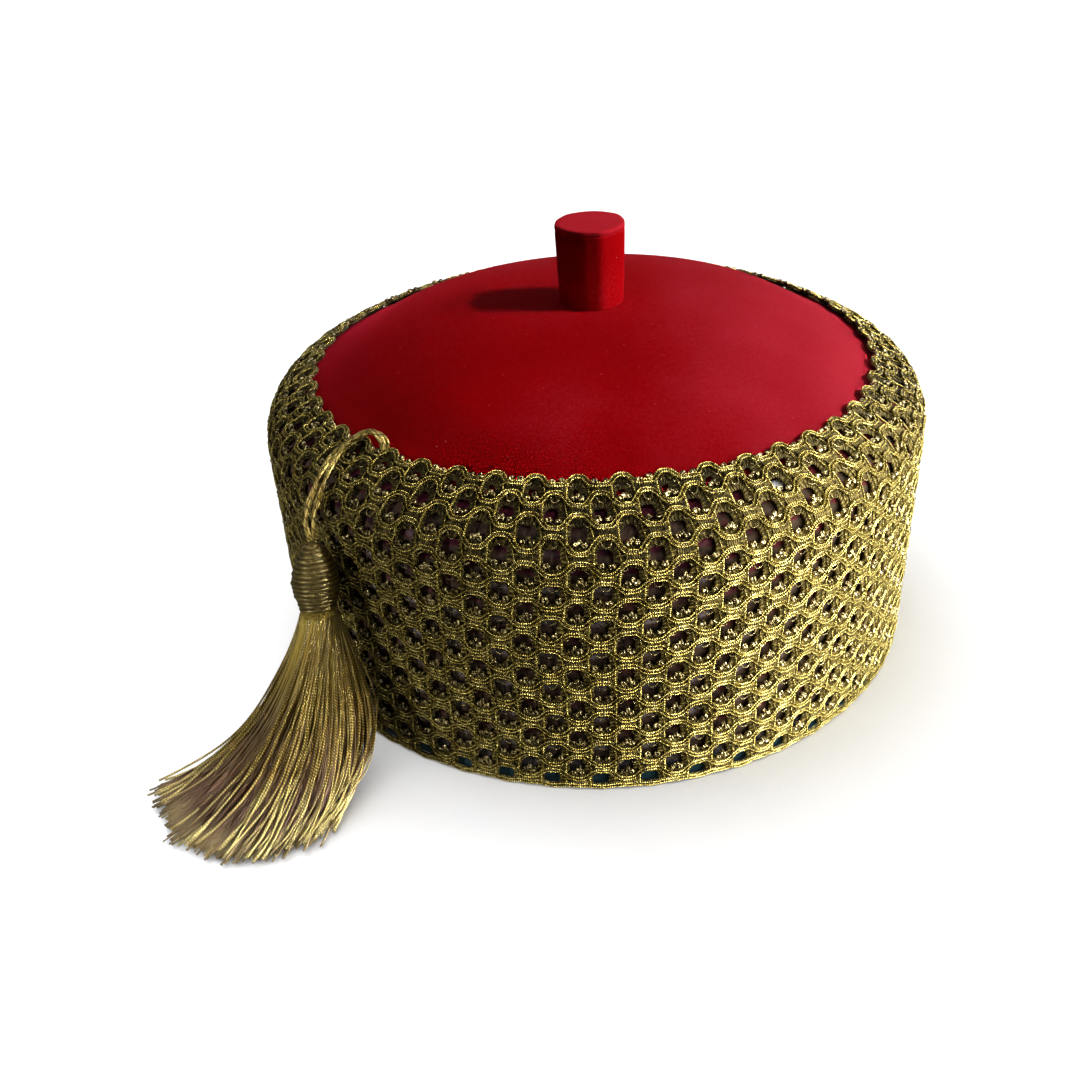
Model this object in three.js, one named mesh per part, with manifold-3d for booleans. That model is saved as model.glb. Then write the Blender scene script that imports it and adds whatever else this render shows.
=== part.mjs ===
// A pillbox cap for special occasions: a domed red velvet crown and side under a sleeve of
// openwork gold lace, with a velvet button on top and a gold tassel on a doubled cord.
// Millimetres, +Z up, -Y to the front. The origin is the middle of the rim, on the surface
// that the cap stands on. Angles round the cap run from the front towards +X.
import * as THREE from 'three';
import { mergeVertices } from 'three/addons/utils/BufferGeometryUtils.js';
import Module from 'manifold-3d';

const wasm = await Module();
wasm.setup();
const { degToRad, lerp, smoothstep } = THREE.MathUtils;

// Driving dimensions
const OUTSIDE_RADIUS = 100; // over the lace
const WALL_HEIGHT = 69.8; // straight part of the side
const SHOULDER_RADIUS = 13.3; // over the lace, from the side into the dome
const DOME_SLOPE = degToRad(27.3); // where the shoulder runs into the dome
const CLEAR = 0.3; // between neighbouring pieces
const CLOTH_THICK = 3; // velvet on its stiff backing
const SEAM_ALONG = 89; // where crown and side meet, under the lace
const CROWN_SWELL = 2.4; // rise of the soft crown inside the lace's edge
const SWELL_START = 94; // along the outside from the floor
const SWELL_TOP = 116;

const LACE_THICK = 2;
const LACE_REPEATS = 48; // holes in each row
const LACE_ROWS = 18;
const LACE_FOOT = 0.4; // the lace's lower edge stays off the surface
const LACE_TWIST = degToRad(1.4); // the columns of holes lean a little to +X
const LACE_FIRST_HOLE = degToRad(0.1);
const WALL_ROWS = 14; // evenly spaced rows, the rest are stretched over the shoulder
const ROW_PITCH = 5.15;
const LACE_EDGE = 95.6; // top edge, along the outside from the floor
const LACE_EDGE_SWAY = 1.7; // the edge is higher at the front than at the sides
const LACE_BACK_DROP = 4; // and lower at the back
const HOLE_DEPTH = 1; // dimple at each hole of the lace
const PICOT_RISE = 0.9; // scallop over each hole of the top row
const PIERCED_ROWS = 2; // top rows that are cut through
const GAP_SHARE = 0.45; // of the way from a hole's middle to the bridges round it

const BINDING_THICK = 1;
const BINDING_HEIGHT = 9;

const BUTTON_RADIUS = 10.3;
const BUTTON_HEIGHT = 23.4; // from the crown's middle to the top
const BUTTON_CAP = 1.4; // thickness of the round piece on top
const BUTTON_SHIFT = 0.9; // it stands a little to the right of the middle

const CORD_WIDTH = 3; // two strands side by side
const HEAD_TOP = new THREE.Vector3(-74.2, -74.3, 65.9);
const HEAD_FOOT = new THREE.Vector3(-74.6, -79.5, 48.5);
const HEAD_TURNS = 11; // wound cord on the head
const HEAD_RIB = 0.35; // how far each turn stands out
const COLLAR_TOP_RADIUS = 4.9; // tied top of the skirt
const COLLAR_RADIUS = 5.4;
const COLLAR_HEIGHT = 5;
const LOCK_START = 3.4; // below the head's foot, inside the collar
const TIP_HEIGHT = 2.1; // middle of the locks where they lie on the surface

// Facets
const ROUND_STEPS = 36;
const SMALL_STEPS = 20;
const SHOULDER_STEPS = 3;
const HEAD_STEPS = 14;
const CORD_SIDES = 8;
const CORD_STEPS = 18;
const LOCK_SIDES = 6;
const LOCK_STEPS = 5;

// The cap's outside, over the lace: wall, shoulder arc, then dome arc
const SHOULDER_TURN = Math.PI / 2 - DOME_SLOPE;
const SHOULDER_LENGTH = SHOULDER_RADIUS * SHOULDER_TURN;
const SHOULDER_CENTRE = OUTSIDE_RADIUS - SHOULDER_RADIUS;
const DOME_EDGE_RADIUS = SHOULDER_CENTRE + SHOULDER_RADIUS * Math.cos(SHOULDER_TURN);
const DOME_EDGE_HEIGHT = WALL_HEIGHT + SHOULDER_RADIUS * Math.sin(SHOULDER_TURN);
const DOME_RADIUS = DOME_EDGE_RADIUS / Math.sin(DOME_SLOPE);
const DOME_CENTRE = DOME_EDGE_HEIGHT - DOME_RADIUS * Math.cos(DOME_SLOPE);
const DOME_START = WALL_HEIGHT + SHOULDER_LENGTH;
const APEX_ALONG = DOME_START + DOME_SLOPE * DOME_RADIUS;
const VELVET_INSET = LACE_THICK + CLEAR; // depth of the velvet's face under the lace's outside
const BACKING_INSET = VELVET_INSET + CLOTH_THICK;
const CROWN_HEIGHT = DOME_CENTRE + DOME_RADIUS - VELVET_INSET;

// The tassel's lean, and the turn that points its skirt away from the cap
const UP = new THREE.Vector3(0, 0, 1);
const HEAD_AXIS = new THREE.Vector3().subVectors(HEAD_TOP, HEAD_FOOT).normalize();
const SKIRT_TURN = Math.atan2(HEAD_FOOT.y, HEAD_FOOT.x);

// Radius and height of a point of the profile: how far along the outside from the floor, and how
// deep under it. The tilt is the angle of the outward normal above the horizontal.
function profilePoint(along, inset) {
  if (along <= WALL_HEIGHT) {
    return { radius: OUTSIDE_RADIUS - inset, height: along, tilt: 0 };
  }
  if (along <= DOME_START) {
    const tilt = (along - WALL_HEIGHT) / SHOULDER_RADIUS;
    const reach = SHOULDER_RADIUS - inset;
    return {
      radius: SHOULDER_CENTRE + reach * Math.cos(tilt),
      height: WALL_HEIGHT + reach * Math.sin(tilt),
      tilt,
    };
  }
  const fromAxis = DOME_SLOPE - (along - DOME_START) / DOME_RADIUS;
  const reach = DOME_RADIUS - inset;
  return {
    radius: reach * Math.sin(fromAxis),
    height: DOME_CENTRE + reach * Math.cos(fromAxis),
    tilt: Math.PI / 2 - fromAxis,
  };
}

function around(radius, angle, height) {
  return new THREE.Vector3(radius * Math.sin(angle), -radius * Math.cos(angle), height);
}

function profileSpot(along, inset) {
  const { radius, height } = profilePoint(along, inset);
  return new THREE.Vector2(Math.max(radius, 0), height);
}

// Profile points at a depth, evenly spaced between two places along the outside
function profileRun(from, to, inset, steps) {
  const points = [];
  for (let step = 0; step <= steps; step += 1) {
    points.push(profileSpot(lerp(from, to, step / steps), inset));
  }
  return points;
}

// Turned solid about the Z axis
function turned(points, steps) {
  return new THREE.LatheGeometry(points, steps).rotateX(Math.PI / 2);
}

function closedProfile(points) {
  return [...points, points[0].clone()];
}

function geometryOf(vertices, triangles) {
  const geometry = new THREE.BufferGeometry();
  geometry.setAttribute('position', new THREE.Float32BufferAttribute(vertices, 3));
  geometry.setIndex(triangles);
  geometry.computeVertexNormals();
  return geometry;
}

// A solid for joining and cutting, from a closed geometry
function solidOf(geometry) {
  const bare = geometry.clone();
  bare.deleteAttribute('normal');
  bare.deleteAttribute('uv');
  const merged = mergeVertices(bare);
  const vertProperties = new Float32Array(merged.attributes.position.array);
  const triVerts = new Uint32Array(merged.index.array);
  return new wasm.Manifold(new wasm.Mesh({ numProp: 3, vertProperties, triVerts }));
}

function geometryOfSolid(solid) {
  const { vertProperties, triVerts } = solid.getMesh();
  return geometryOf(Array.from(vertProperties), Array.from(triVerts));
}

function namedMesh(name, geometry, color, roughness, metalness) {
  const mesh = new THREE.Mesh(geometry, new THREE.MeshStandardMaterial({ color, roughness, metalness }));
  mesh.name = name;
  return mesh;
}

const velvet = (name, geometry) => namedMesh(name, geometry, 0xa3060f, 0.9, 0);
const gold = (name, geometry) => namedMesh(name, geometry, 0xb8963f, 0.4, 0.6);

// Crown: a domed disc of backed velvet, which swells inside the lace's edge
const SWELL_PLACES = [97, 105, SWELL_TOP, 136, 158];

function crownSwell(along) {
  const rising = smoothstep(along, SWELL_START, SWELL_TOP);
  const falling = 1 - smoothstep(along, SWELL_TOP, APEX_ALONG);
  return CROWN_SWELL * rising * falling;
}

function crownRun(places, inset) {
  return [SEAM_ALONG, ...places, APEX_ALONG].map((along) => profileSpot(along, inset - crownSwell(along)));
}

function crownGeometry() {
  const underside = crownRun(SWELL_PLACES.slice(1), BACKING_INSET).reverse();
  const face = crownRun(SWELL_PLACES, VELVET_INSET);
  return turned([...underside, ...face], ROUND_STEPS);
}

// Side: the wall and its rounded shoulder, thinner at the rim where the binding folds round it
function sideGeometry() {
  const seam = SEAM_ALONG - CLEAR;
  const rimFace = OUTSIDE_RADIUS - VELVET_INSET - BINDING_THICK - CLEAR;
  const rimFoot = BINDING_THICK + CLEAR;
  const step = BINDING_HEIGHT + CLEAR;
  const outside = [
    new THREE.Vector2(rimFace, rimFoot),
    new THREE.Vector2(rimFace, step),
    new THREE.Vector2(OUTSIDE_RADIUS - VELVET_INSET, step),
    ...profileRun(WALL_HEIGHT, DOME_START, VELVET_INSET, SHOULDER_STEPS),
    profileSpot(seam, VELVET_INSET),
  ];
  const inside = [
    new THREE.Vector2(OUTSIDE_RADIUS - BACKING_INSET, rimFoot),
    ...profileRun(WALL_HEIGHT, DOME_START, BACKING_INSET, SHOULDER_STEPS),
    profileSpot(seam, BACKING_INSET),
  ].reverse();
  return turned(closedProfile([...outside, ...inside]), ROUND_STEPS);
}

// Binding: a folded tape round the rim, which the cap stands on
function bindingGeometry() {
  const outer = OUTSIDE_RADIUS - VELVET_INSET;
  const outerBack = outer - BINDING_THICK;
  const innerBack = OUTSIDE_RADIUS - BACKING_INSET - CLEAR;
  const inner = innerBack - BINDING_THICK;
  const section = [
    new THREE.Vector2(inner, 0),
    new THREE.Vector2(outer, 0),
    new THREE.Vector2(outer, BINDING_HEIGHT),
    new THREE.Vector2(outerBack, BINDING_HEIGHT),
    new THREE.Vector2(outerBack, BINDING_THICK),
    new THREE.Vector2(innerBack, BINDING_THICK),
    new THREE.Vector2(innerBack, BINDING_HEIGHT),
    new THREE.Vector2(inner, BINDING_HEIGHT),
  ];
  return turned(closedProfile(section), ROUND_STEPS);
}

// Lace: holes and bridges alternate along each row and from row to row, so a hole lies under the
// bridge of the next row. Even columns of even rows and odd columns of odd rows are holes, and the
// two edges count as rows.
const LACE_COLUMNS = LACE_REPEATS * 2;
const FOOT_EDGE = -1;
const TOP_EDGE = LACE_ROWS;
const FIRST_PIERCED = LACE_ROWS - PIERCED_ROWS;
const OUTSIDE_RINGS = TOP_EDGE - FOOT_EDGE + 1;
const isHole = (column, row) => (column + row) % 2 === 0;

function columnAngle(column, along) {
  return LACE_FIRST_HOLE + (column / LACE_COLUMNS) * 2 * Math.PI + (LACE_TWIST * along) / LACE_EDGE;
}

// Top edge, along the outside
function laceEdge(column) {
  const angle = columnAngle(column, 0);
  const towardsBack = Math.max(-Math.cos(angle), 0);
  return LACE_EDGE + LACE_EDGE_SWAY * Math.cos(2 * angle) - LACE_BACK_DROP * towardsBack ** 2;
}

// Place of a row along the outside
function rowAlong(row, column) {
  if (row === FOOT_EDGE) {
    return LACE_FOOT;
  }
  const edge = laceEdge(column);
  if (row === TOP_EDGE) {
    return edge + (isHole(column, row - 1) ? PICOT_RISE : 0);
  }
  const place = row + 0.5;
  if (place <= WALL_ROWS) {
    return place * ROW_PITCH;
  }
  return lerp(WALL_ROWS * ROW_PITCH, edge, (place - WALL_ROWS) / (LACE_ROWS - WALL_ROWS));
}

function laceRing(row, alongOf, insetOf) {
  const points = [];
  for (let column = 0; column < LACE_COLUMNS; column += 1) {
    const along = alongOf(column);
    const { radius, height } = profilePoint(along, insetOf(column));
    points.push(around(radius, columnAngle(column, along), height));
  }
  return { row, points };
}

// Rings of points up the outside, over the top edge and down the inside, which has no dimples
function laceRings() {
  const rings = [];
  const back = () => LACE_THICK;
  for (let row = FOOT_EDGE; row <= TOP_EDGE; row += 1) {
    const dimpled = row !== FOOT_EDGE && row !== TOP_EDGE;
    const inset = (column) => (dimpled && isHole(column, row) ? HOLE_DEPTH : 0);
    rings.push(laceRing(row, (column) => rowAlong(row, column), inset));
  }
  for (let row = TOP_EDGE; row >= FIRST_PIERCED - 1; row -= 1) {
    rings.push(laceRing(row, (column) => rowAlong(row, column), back));
  }
  const lowest = rowAlong(FIRST_PIERCED - 1, 0);
  for (let step = 1; step <= SHOULDER_STEPS; step += 1) {
    const along = lerp(lowest, WALL_HEIGHT, step / SHOULDER_STEPS);
    rings.push(laceRing(FIRST_PIERCED - 1 - step, () => along, back));
  }
  rings.push(laceRing(FOOT_EDGE, () => LACE_FOOT, back));
  return rings;
}

// Closed sleeve through the rings. Each facet spans a hole and two bridges beside it. Where the
// hole is cut through, a frame of the facet is left, with a wall from the outside to the inside.
function laceGeometry() {
  const rings = laceRings();
  const points = rings.flatMap((ring) => ring.points);
  const triangles = [];
  const rims = new Map();

  function isPierced(hole) {
    const { row } = rings[Math.floor(hole / LACE_COLUMNS)];
    return row >= FIRST_PIERCED && row < TOP_EDGE;
  }

  function rimPoint(hole, bridge) {
    const key = `${hole} ${bridge}`;
    if (!rims.has(key)) {
      rims.set(key, points.length);
      points.push(points[hole].clone().lerp(points[bridge], GAP_SHARE));
    }
    return rims.get(key);
  }

  // The point of the inside that lies under a point of the outside
  function twin(outer) {
    const { row } = rings[Math.floor(outer / LACE_COLUMNS)];
    return (OUTSIDE_RINGS + TOP_EDGE - row) * LACE_COLUMNS + (outer % LACE_COLUMNS);
  }

  function addFacet(hole, first, second) {
    if (!isPierced(hole)) {
      triangles.push(hole, first, second);
      return;
    }
    const rimFirst = rimPoint(hole, first);
    const rimSecond = rimPoint(hole, second);
    triangles.push(rimFirst, first, second, rimFirst, second, rimSecond);
    if (hole < OUTSIDE_RINGS * LACE_COLUMNS) {
      const backFirst = rimPoint(twin(hole), twin(first));
      const backSecond = rimPoint(twin(hole), twin(second));
      triangles.push(rimFirst, rimSecond, backSecond, rimFirst, backSecond, backFirst);
    }
  }

  rings.forEach((ring, level) => {
    const here = level * LACE_COLUMNS;
    const above = ((level + 1) % rings.length) * LACE_COLUMNS;
    for (let column = 0; column < LACE_COLUMNS; column += 1) {
      const next = (column + 1) % LACE_COLUMNS;
      if (isHole(column, ring.row)) {
        addFacet(here + column, here + next, above + column);
        addFacet(above + next, above + column, here + next);
      } else {
        addFacet(here + next, above + next, here + column);
        addFacet(above + column, here + column, above + next);
      }
    }
  });
  return geometryOf(points.flatMap((point) => point.toArray()), triangles);
}

// Button: a post that widens a little to its top, and a round piece that lies flush on it. Each
// outline gives shares of the button's radius and of the piece's height, from its foot up.
const STEM_OUTLINE = [[0.93, 0], [0.945, 0.12], [0.97, 0.5], [0.995, 0.93], [0.99, 1]];
const BUTTON_TOP_OUTLINE = [[0.985, 0], [1, 0.2], [0.995, 0.75], [0.965, 1]];

function buttonGeometry(outline, height) {
  const side = outline.map(([radiusShare, heightShare]) => {
    return new THREE.Vector2(radiusShare * BUTTON_RADIUS, heightShare * height);
  });
  return turned([new THREE.Vector2(0, 0), ...side, new THREE.Vector2(0, height)], SMALL_STEPS);
}

// Cord: from behind the lace's top edge, over it and down the shoulder to the tassel's head
const CORD_ROUTE = [
  [-53.6, -60.1, 87.3], [-54.6, -60.2, 88.6], [-55.7, -59.7, 89.3], [-56.8, -58.7, 89.7],
  [-58.1, -57.7, 89.6], [-59.6, -56.9, 89], [-61.1, -56.7, 88.4], [-64.2, -57.5, 87.1],
  [-66.8, -59.5, 85.5], [-69.2, -62.8, 83.4], [-71, -66.2, 80.9], [-72.5, -69, 77.7],
  [-73.5, -70, 75.8], [-74.2, -70.7, 73.8], [-74.7, -71.5, 71.9], [-74.7, -72.5, 70.1],
  [-74.4, -73.4, 68.3], [-74.2, -74, 66.6],
];

function cordGeometry() {
  const route = new THREE.CatmullRomCurve3(CORD_ROUTE.map((point) => new THREE.Vector3(...point)));
  const section = new THREE.Shape();
  section.absarc(0, 0, CORD_WIDTH / 2, 0, 2 * Math.PI);
  return new THREE.ExtrudeGeometry(section, {
    extrudePath: route,
    steps: CORD_STEPS,
    curveSegments: CORD_SIDES / 2,
    bevelEnabled: false,
  });
}

// Head: egg-shaped and wound with cord, its foot at the origin and its neck up. The outline gives
// radii at shares of the head's length.
const HEAD_OUTLINE = [
  { share: 0, radius: 4.9 },
  { share: 0.1, radius: 5.3 },
  { share: 0.27, radius: 6.3 },
  { share: 0.42, radius: 6.6 },
  { share: 0.58, radius: 6.1 },
  { share: 0.75, radius: 4.9 },
  { share: 0.9, radius: 3.3 },
  { share: 1, radius: 2 },
];

function headRadius(share) {
  const after = Math.max(HEAD_OUTLINE.findIndex((spot) => spot.share >= share), 1);
  const lower = HEAD_OUTLINE[after - 1];
  const upper = HEAD_OUTLINE[after];
  return lerp(lower.radius, upper.radius, (share - lower.share) / (upper.share - lower.share));
}

function headGeometry() {
  const length = HEAD_TOP.distanceTo(HEAD_FOOT);
  const points = [new THREE.Vector2(0, 0)];
  for (let half = 0; half <= 2 * HEAD_TURNS; half += 1) {
    const share = half / (2 * HEAD_TURNS);
    const rib = half % 2 === 1 ? 0 : -HEAD_RIB;
    points.push(new THREE.Vector2(headRadius(share) + rib, share * length));
  }
  points.push(new THREE.Vector2(0, length));
  return turned(points, HEAD_STEPS);
}

// Skirt: locks of thread that fall from the tied collar, bend at a knee and a foot, and fan out on
// the surface. X is away from the cap, angles in degrees turn towards +Y, heights are from the
// surface.
const LOCK_COLUMNS = [
  'tipAngle', 'tipReach', 'kneeAngle', 'kneeReach', 'kneeHeight', 'footReach', 'footHeight',
];
const LOCKS = [
  [-27, 51, -28, 10, 28, 25, 6],
  [-15, 52.5, -15, 11, 28, 27, 6],
  [-2, 53, -2, 11, 27, 27, 5.5],
  [12, 51, 14, 11, 27, 25, 5],
  [26, 45.5, 35, 12, 26, 20, 4.5],
  [38, 39.5, 65, 13, 25, 16, 3.5],
  [48, 32.5, 105, 15, 22, 16, 2.5],
  [-20, 45, -30, 6, 24, 15, 2.5],
  [3, 45, 10, 4, 24, 14, 2.5],
  [25, 38, 50, 5, 22, 12, 2.5],
].map((row) => Object.fromEntries(LOCK_COLUMNS.map((column, index) => [column, row[index]])));
const LOCK_NECK_REACH = 3; // from the collar's axis to a lock's middle
const LOCK_HALF_WIDTH = { neck: 2.2, tip: 5.4 };
const LOCK_HALF_THICK = { neck: 2.3, tip: 1.7 };

function polar(angle, reach, height) {
  return new THREE.Vector3(reach * Math.cos(degToRad(angle)), reach * Math.sin(degToRad(angle)), height);
}

function lockGeometry(lock) {
  const path = new THREE.CubicBezierCurve3(
    polar(lock.kneeAngle, LOCK_NECK_REACH, HEAD_FOOT.z - LOCK_START),
    polar(lock.kneeAngle, lock.kneeReach, lock.kneeHeight),
    polar(lock.kneeAngle, lock.footReach, lock.footHeight),
    polar(lock.tipAngle, lock.tipReach, TIP_HEIGHT),
  );
  const across = polar(lock.tipAngle + 90, 1, 0);
  const rings = [];
  for (let step = 0; step <= LOCK_STEPS; step += 1) {
    const share = step / LOCK_STEPS;
    const middle = path.getPoint(share);
    const through = new THREE.Vector3().crossVectors(path.getTangent(share), across).normalize();
    const halfWidth = lerp(LOCK_HALF_WIDTH.neck, LOCK_HALF_WIDTH.tip, share);
    const halfThick = lerp(LOCK_HALF_THICK.neck, LOCK_HALF_THICK.tip, share);
    const ring = [];
    for (let side = 0; side < LOCK_SIDES; side += 1) {
      const turn = (side / LOCK_SIDES) * 2 * Math.PI;
      const point = middle.clone().addScaledVector(across, halfWidth * Math.cos(turn));
      ring.push(point.addScaledVector(through, halfThick * Math.sin(turn)));
    }
    rings.push(ring);
  }
  return loft(rings);
}

// Solid through rings of points, closed by flat ends
function loft(rings) {
  const count = rings[0].length;
  const vertices = rings.flat().flatMap((point) => point.toArray());
  const triangles = [];
  for (let level = 0; level + 1 < rings.length; level += 1) {
    for (let side = 0; side < count; side += 1) {
      const next = (side + 1) % count;
      const [a, b] = [level * count + side, level * count + next];
      triangles.push(a, b, b + count, a, b + count, a + count);
    }
  }
  const last = (rings.length - 1) * count;
  for (let side = 1; side + 1 < count; side += 1) {
    triangles.push(0, side + 1, side);
    triangles.push(last, last + side, last + side + 1);
  }
  return geometryOf(vertices, triangles);
}

// The collar leans with the head, under the head's foot
function collarGeometry() {
  const collar = new THREE.CylinderGeometry(COLLAR_TOP_RADIUS, COLLAR_RADIUS, COLLAR_HEIGHT, HEAD_STEPS);
  const axis = HEAD_AXIS.clone().applyAxisAngle(UP, -SKIRT_TURN);
  collar.translate(0, -CLEAR - COLLAR_HEIGHT / 2, 0);
  collar.applyQuaternion(new THREE.Quaternion().setFromUnitVectors(new THREE.Vector3(0, 1, 0), axis));
  return collar.translate(0, 0, HEAD_FOOT.z);
}

function skirtGeometry() {
  let skirt = solidOf(collarGeometry());
  for (const lock of LOCKS) {
    skirt = skirt.add(solidOf(lockGeometry(lock)));
  }
  return geometryOfSolid(skirt);
}

// Assembly
const stemHeight = BUTTON_HEIGHT - BUTTON_CAP - 2 * CLEAR;
const stem = velvet('button_stem', buttonGeometry(STEM_OUTLINE, stemHeight));
stem.position.set(BUTTON_SHIFT, 0, CROWN_HEIGHT + CLEAR);
const buttonTop = velvet('button_top', buttonGeometry(BUTTON_TOP_OUTLINE, BUTTON_CAP));
buttonTop.position.set(BUTTON_SHIFT, 0, stem.position.z + stemHeight + CLEAR);

const head = gold('tassel_head', headGeometry());
head.position.copy(HEAD_FOOT);
head.quaternion.setFromUnitVectors(UP, HEAD_AXIS);

const skirt = gold('tassel_skirt', skirtGeometry());
skirt.position.set(HEAD_FOOT.x, HEAD_FOOT.y, 0);
skirt.rotation.z = SKIRT_TURN;

const cap = new THREE.Group();
cap.add(velvet('crown_top', crownGeometry()));
cap.add(velvet('side_wall', sideGeometry()));
cap.add(namedMesh('rim_binding', bindingGeometry(), 0x12343a, 0.8, 0));
cap.add(gold('gold_lace', laceGeometry()));
cap.add(stem, buttonTop);
cap.add(gold('tassel_cord', cordGeometry()));
cap.add(head, skirt);

export default cap;
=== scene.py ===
# The looks of a red velvet pillbox cap with gold lace and a tassel, in the frame of its model.
# Sizes are in millimetres, as in the part's source, and become metres where meshes are made.
import math

import bpy
import numpy as np
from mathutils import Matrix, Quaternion, Vector


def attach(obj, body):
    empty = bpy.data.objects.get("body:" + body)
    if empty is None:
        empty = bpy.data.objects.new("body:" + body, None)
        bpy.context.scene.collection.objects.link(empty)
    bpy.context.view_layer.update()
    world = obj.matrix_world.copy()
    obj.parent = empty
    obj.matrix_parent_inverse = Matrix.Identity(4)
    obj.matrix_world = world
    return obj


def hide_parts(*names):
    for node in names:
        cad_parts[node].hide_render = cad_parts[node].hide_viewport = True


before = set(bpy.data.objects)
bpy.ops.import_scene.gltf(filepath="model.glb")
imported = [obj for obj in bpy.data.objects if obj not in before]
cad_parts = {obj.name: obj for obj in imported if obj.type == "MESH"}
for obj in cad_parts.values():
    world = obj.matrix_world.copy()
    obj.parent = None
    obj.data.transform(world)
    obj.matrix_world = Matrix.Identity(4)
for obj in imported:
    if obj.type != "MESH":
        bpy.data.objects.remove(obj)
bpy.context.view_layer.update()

MM = 0.001
BODY = "root"
UP = np.array([0, 0, 1.0])
rng = np.random.default_rng(11)

# Camera, as fitted to the photograph's outline
CAMERA_PLACE = Vector((0, -0.32657, 0.22744))
CAMERA_AIM = Vector((-0.0186, 0, 0.0171))
CAMERA_ROLL = math.radians(-3.28)
CAMERA_LENS = 38.32
CAMERA_SENSOR = 36

# The cap's outside, over the lace: wall, shoulder arc, then dome arc
OUTSIDE_RADIUS = 100
WALL_HEIGHT = 69.8
SHOULDER_RADIUS = 13.3
DOME_SLOPE = math.radians(27.3)
SHOULDER_TURN = math.pi / 2 - DOME_SLOPE
SHOULDER_CENTRE = OUTSIDE_RADIUS - SHOULDER_RADIUS
DOME_START = WALL_HEIGHT + SHOULDER_RADIUS * SHOULDER_TURN
DOME_EDGE_RADIUS = SHOULDER_CENTRE + SHOULDER_RADIUS * math.cos(SHOULDER_TURN)
DOME_EDGE_HEIGHT = WALL_HEIGHT + SHOULDER_RADIUS * math.sin(SHOULDER_TURN)
DOME_RADIUS = DOME_EDGE_RADIUS / math.sin(DOME_SLOPE)
DOME_CENTRE = DOME_EDGE_HEIGHT - DOME_RADIUS * math.cos(DOME_SLOPE)
APEX_ALONG = DOME_START + DOME_SLOPE * DOME_RADIUS
CLEAR = 0.3
VELVET_INSET = 2.3
BACKING_INSET = 5.3
SEAM_ALONG = 89
CROWN_SWELL = 2.4  # rise of the soft crown inside the lace's edge
SWELL_START = 94
SWELL_TOP = 116
CROWN_HEIGHT = DOME_CENTRE + DOME_RADIUS - VELVET_INSET

BINDING_THICK = 1
BINDING_HEIGHT = 9

BUTTON_RADIUS = 10.3
BUTTON_HEIGHT = 23.4
BUTTON_CAP = 1.4
BUTTON_SHIFT = 0.9

# Lace: rows of holes that alternate from row to row, between bands that wave round them
LACE_REPEATS = 48
LACE_COLUMNS = 2 * LACE_REPEATS
COLUMN_WIDTH = 2 * math.pi * OUTSIDE_RADIUS / LACE_COLUMNS
LACE_ROWS = 18
LACE_TWIST = math.radians(1.4)
LACE_FIRST_HOLE = math.radians(0.1)
WALL_ROWS = 14
ROW_PITCH = 5.15
LACE_EDGE = 95.6
LACE_EDGE_SWAY = 1.7
LACE_BACK_DROP = 4
BAND_STEPS = 16  # samples of a band in each repeat
BAND_TOUCH = 2.3  # distance of two bands' middles where they come close, on the wall
BAND_TOUCH_TOP = 2.5  # and on the shoulder
BAND_FOOT = 1.25  # height of the lowest band
TOP_BAND_DROP = 1.9  # depth of the top band's dips under the lace's edge
TOP_BAND_ARCH = 2.5  # and height of the arches between them
BAND_INSET = 0.25  # depth of the bands' middle under the outside
CORD_SPREAD = 0.5  # from a band's middle to each of its edge cords
EDGE_CORD = 0.2  # radius of an edge cord
SIDE_THREAD_PLACE = 3.25 / COLUMN_WIDTH  # threads beside each hole, from its middle, in columns
SIDE_THREADS = [(-1, 0.0, 0.27, 0.1), (1, 0.05, 0.18, 0.6)]  # side, bow, radius, depth
BRIDGE_HALF_WIDTH = 1.75  # dark cloth where two bands come close
BRIDGE_INSET = 1.0
RIB_PITCH = 0.6  # ribs across the bands
HOLE_HALF_WIDTH = 3.0  # opening in the dark ground behind the bands
HOLE_HALF_HEIGHT = 3.3
HOLE_SQUARENESS = 0.7  # 1 for an ellipse, less for fuller corners
HOLE_STEPS = 16
HOLE_SIZES = (0.6, 0.95)  # least and most of an opening's reach, of that of a full hole
HOLE_SHIFT = (-0.4, -0.2)  # sideways and up
HOLE_LIP = [(0.12, 0), (0, 0.15), (-0.03, 0.45)]  # rings of an opening's edge: added reach, depth
UPPER_HOLE_SIZES = ((0.5, 0.85), (0.25, 0.55))  # in the top two rows: small, so that more dark ground stands there as painted shade
UPPER_HOLE_SHIFT = (-0.7, -0.8)
GROUND_INSET = 1.1

# Tassel
CORD_ROUTE = [
    (-54.5, -61.4, 86), (-54.4, -60.9, 87.3), (-54.9, -60.3, 88.5), (-55.7, -59.7, 89.3),
    (-56.8, -58.7, 89.7), (-58.1, -57.7, 89.6), (-59.6, -56.9, 89), (-61.1, -56.7, 88.4),
    (-64.2, -57.5, 87.1), (-66.8, -59.5, 85.5), (-69.2, -62.8, 83.4), (-71, -66.2, 80.9),
    (-72.5, -69, 77.7), (-73.5, -70, 75.8), (-74.2, -70.7, 73.8), (-74.7, -71.5, 71.9),
    (-74.7, -72.5, 70.1), (-74.4, -73.4, 68.3), (-74.2, -74, 66.6),
]
HEAD_TOP = np.array([-74.2, -74.3, 65.9])
HEAD_FOOT = np.array([-74.6, -79.5, 48.5])
HEAD_SHARES = [0, 0.1, 0.27, 0.42, 0.58, 0.75, 0.9, 1]
HEAD_RADII = [4.9, 5.3, 6.3, 6.6, 6.1, 4.9, 3.3, 2]
HEAD_TURNS = 15
SKIRT_TURN = math.atan2(HEAD_FOOT[1], HEAD_FOOT[0])
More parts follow.
